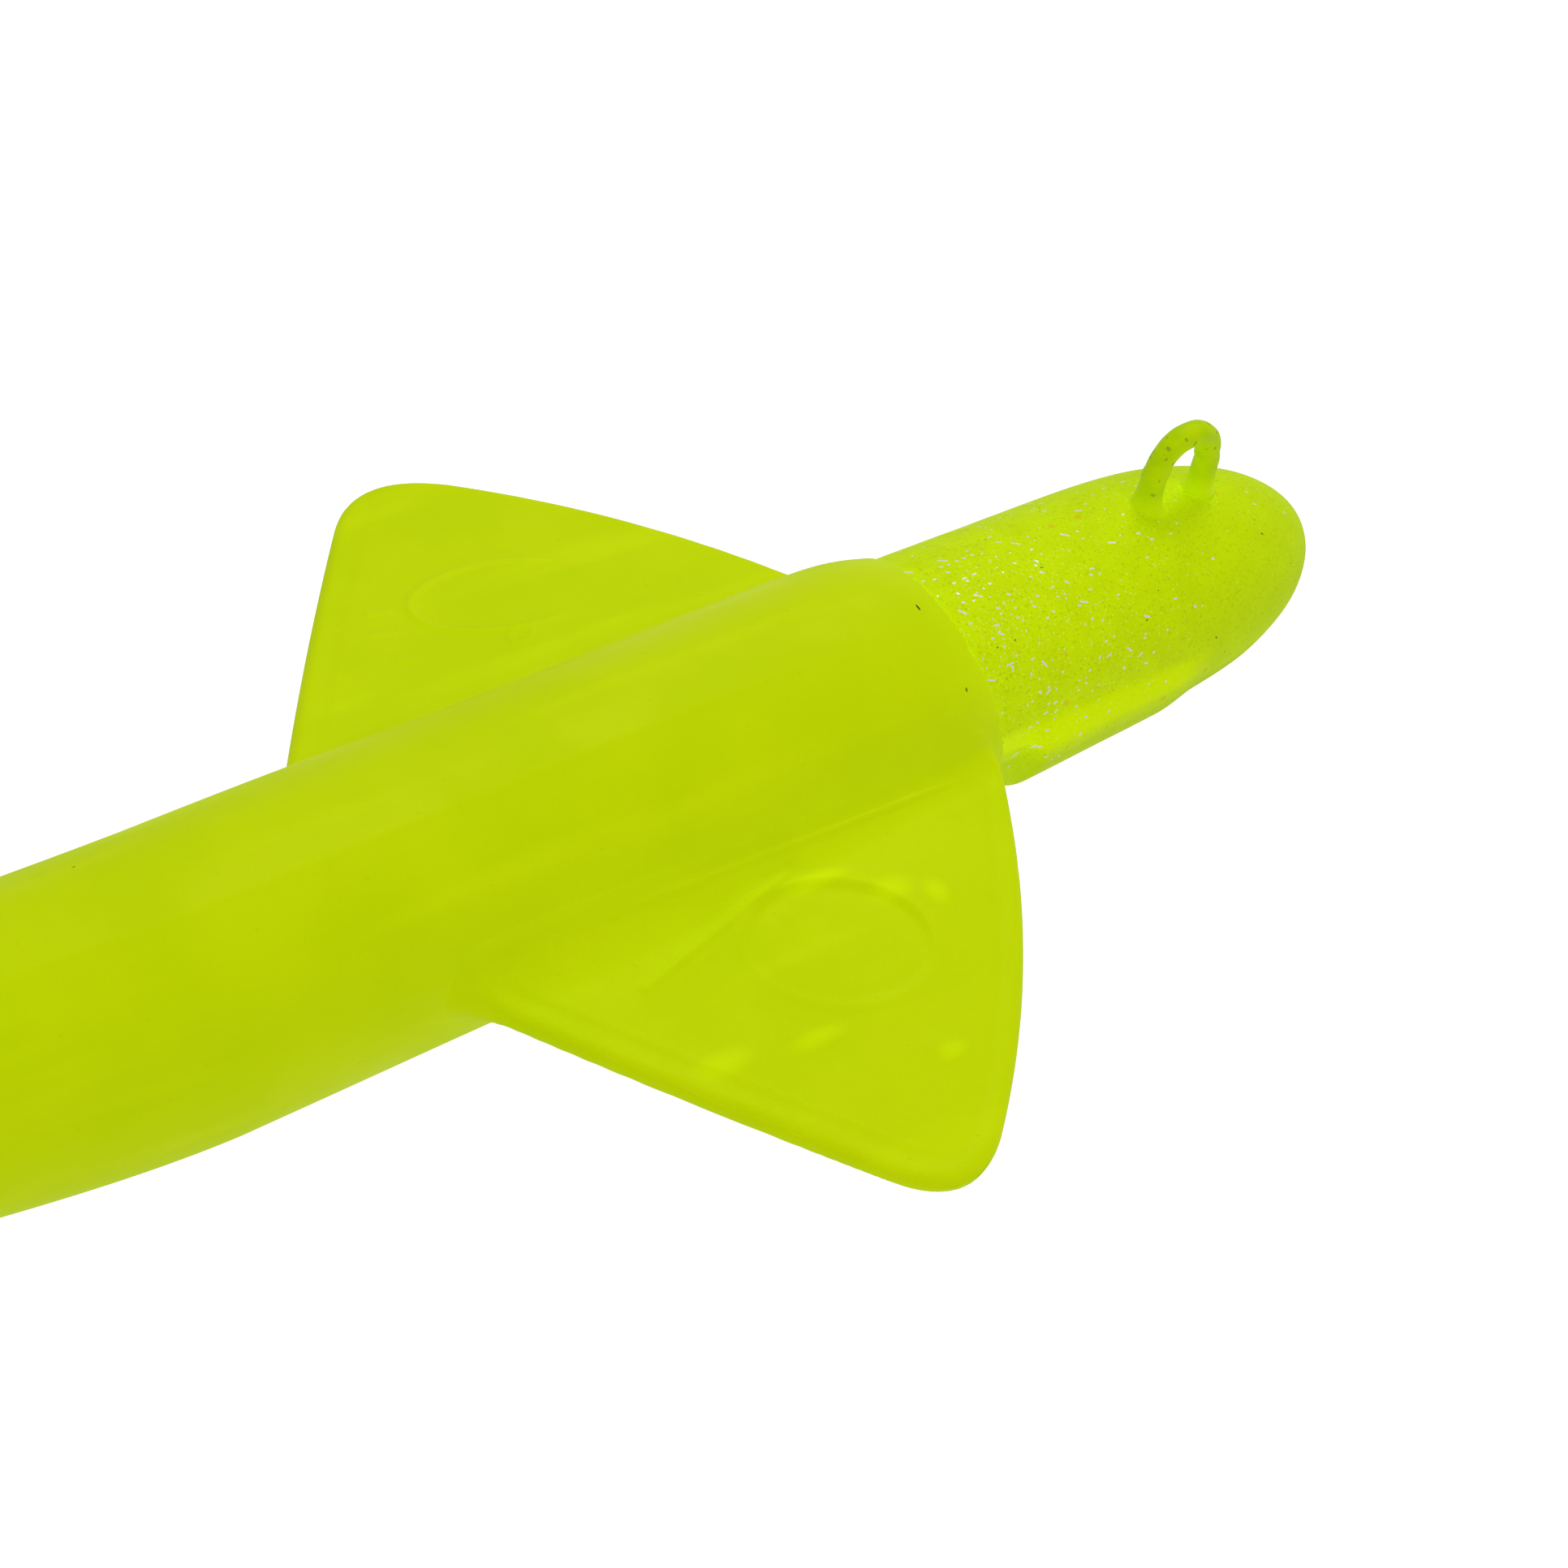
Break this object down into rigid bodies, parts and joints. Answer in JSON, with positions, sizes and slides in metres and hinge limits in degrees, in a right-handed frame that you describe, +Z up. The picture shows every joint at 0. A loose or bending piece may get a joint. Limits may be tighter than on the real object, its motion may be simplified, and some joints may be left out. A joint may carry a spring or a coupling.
{
  "type": "squid jig",
  "caption": "Weighted squid-shaped fishing jig: bullet lead head with wire line tie, hollow soft body with two fins and trailing arms, and a hook on a swivel.",
  "frame": {"origin": "middle of the lead head's flat belly", "axes": "+X forwards to the nose, +Z up to the line tie, +Y to the squid's left"},
  "size_m": [0.364, 0.1317, 0.0487],
  "materials": {
    "painted_lead": "fluorescent chartreuse powder paint with silver glitter",
    "painted_wire": "fluorescent chartreuse powder paint over steel wire",
    "soft_plastic": "fluorescent chartreuse soft plastic, satin",
    "tackle_steel": "stainless steel",
    "hook_steel": "black nickel",
    "eye_plastic": "glossy domed plastic"
  },
  "bodies": {
    "head": {"lead_head": "painted_lead", "through_wire": "painted_wire", "mantle": "soft_plastic", "squid_head": "soft_plastic", "left_eye": "eye_plastic", "right_eye": "eye_plastic"},
    "left_fin": {"left_fin": "soft_plastic"},
    "right_fin": {"right_fin": "soft_plastic"},
    "swivel_front": {"swivel_front_eye": "tackle_steel"},
    "swivel_barrel": {"swivel_barrel": "tackle_steel"},
    "swivel_rear": {"swivel_rear_eye": "tackle_steel"},
    "split_ring": {"split_ring": "tackle_steel"},
    "hook": {"hook": "hook_steel"},
    "arm_1": {"arm_1": "soft_plastic"},
    "arm_2": {"arm_2": "soft_plastic"},
    "left_tentacle": {"left_tentacle": "soft_plastic"},
    "arm_3": {"arm_3": "soft_plastic"},
    "arm_4": {"arm_4": "soft_plastic"},
    "arm_5": {"arm_5": "soft_plastic"},
    "arm_6": {"arm_6": "soft_plastic"},
    "right_tentacle": {"right_tentacle": "soft_plastic"},
    "arm_7": {"arm_7": "soft_plastic"},
    "arm_8": {"arm_8": "soft_plastic"}
  },
  "joints": [
    {"name": "left_fin_flex", "type": "hinge", "parent": "head", "child": "left_fin", "pos_m": [-0.025, 0.0208, 0.0145], "axis": [1, 0, 0], "range_deg": [-35, 35], "stiffness_Nm_per_rad": 0.1},
    {"name": "right_fin_flex", "type": "hinge", "parent": "head", "child": "right_fin", "pos_m": [-0.025, -0.0208, 0.0145], "axis": [-1, 0, 0], "range_deg": [-30, 40], "stiffness_Nm_per_rad": 0.1},
    {"name": "swivel_swing", "type": "hinge", "parent": "head", "child": "swivel_front", "pos_m": [-0.1444, 0, 0.0145], "axis": [0, 1, 0], "range_deg": [-1.5, 1.5]},
    {"name": "barrel_spin", "type": "hinge", "parent": "swivel_front", "child": "swivel_barrel", "pos_m": [-0.1522, 0, 0.0145], "axis": [1, 0, 0], "continuous": true},
    {"name": "swivel_turn", "type": "hinge", "parent": "swivel_front", "child": "swivel_rear", "pos_m": [-0.1612, 0, 0.0145], "axis": [1, 0, 0], "range_deg": [-8, 8]},
    {"name": "split_ring_swing", "type": "hinge", "parent": "swivel_rear", "child": "split_ring", "pos_m": [-0.169, 0, 0.0145], "axis": [0, 0, 1], "range_deg": [-1.2, 1.2]},
    {"name": "hook_swing", "type": "hinge", "parent": "split_ring", "child": "hook", "pos_m": [-0.1767, 0, 0.0145], "axis": [0, 1, 0], "range_deg": [-2, 2]},
    {"name": "arm_1_flex", "type": "hinge", "parent": "head", "child": "arm_1", "pos_m": [-0.2182, 0.00555, 0.02411], "axis": [0, 0.866, -0.5], "range_deg": [-1, 30], "stiffness_Nm_per_rad": 0.02},
    {"name": "arm_2_flex", "type": "hinge", "parent": "head", "child": "arm_2", "pos_m": [-0.2182, 0.00992, 0.01948], "axis": [0, 0.4488, -0.8936], "range_deg": [-1, 30], "stiffness_Nm_per_rad": 0.02},
    {"name": "left_tentacle_flex", "type": "hinge", "parent": "head", "child": "left_tentacle", "pos_m": [-0.2182, 0.01103, 0.01321], "axis": [0, -0.1161, -0.9932], "range_deg": [-1, 30], "stiffness_Nm_per_rad": 0.02},
    {"name": "arm_3_flex", "type": "hinge", "parent": "head", "child": "arm_3", "pos_m": [-0.2182, 0.0085, 0.00737], "axis": [0, -0.6428, -0.766], "range_deg": [-1, 30], "stiffness_Nm_per_rad": 0.02},
    {"name": "arm_4_flex", "type": "hinge", "parent": "head", "child": "arm_4", "pos_m": [-0.2182, 0.00318, 0.00387], "axis": [0, -0.958, -0.2868], "range_deg": [-1, 30], "stiffness_Nm_per_rad": 0.02},
    {"name": "arm_5_flex", "type": "hinge", "parent": "head", "child": "arm_5", "pos_m": [-0.2182, -0.00318, 0.00387], "axis": [0, -0.958, 0.2868], "range_deg": [-1, 30], "stiffness_Nm_per_rad": 0.02},
    {"name": "arm_6_flex", "type": "hinge", "parent": "head", "child": "arm_6", "pos_m": [-0.2182, -0.0085, 0.00737], "axis": [0, -0.6428, 0.766], "range_deg": [-1, 30], "stiffness_Nm_per_rad": 0.02},
    {"name": "right_tentacle_flex", "type": "hinge", "parent": "head", "child": "right_tentacle", "pos_m": [-0.2182, -0.01103, 0.01321], "axis": [0, -0.1161, 0.9932], "range_deg": [-1, 30], "stiffness_Nm_per_rad": 0.02},
    {"name": "arm_7_flex", "type": "hinge", "parent": "head", "child": "arm_7", "pos_m": [-0.2182, -0.00992, 0.01948], "axis": [0, 0.4488, 0.8936], "range_deg": [-1, 30], "stiffness_Nm_per_rad": 0.02},
    {"name": "arm_8_flex", "type": "hinge", "parent": "head", "child": "arm_8", "pos_m": [-0.2182, -0.00555, 0.02411], "axis": [0, 0.866, 0.5], "range_deg": [-1, 30], "stiffness_Nm_per_rad": 0.02}
  ]
}
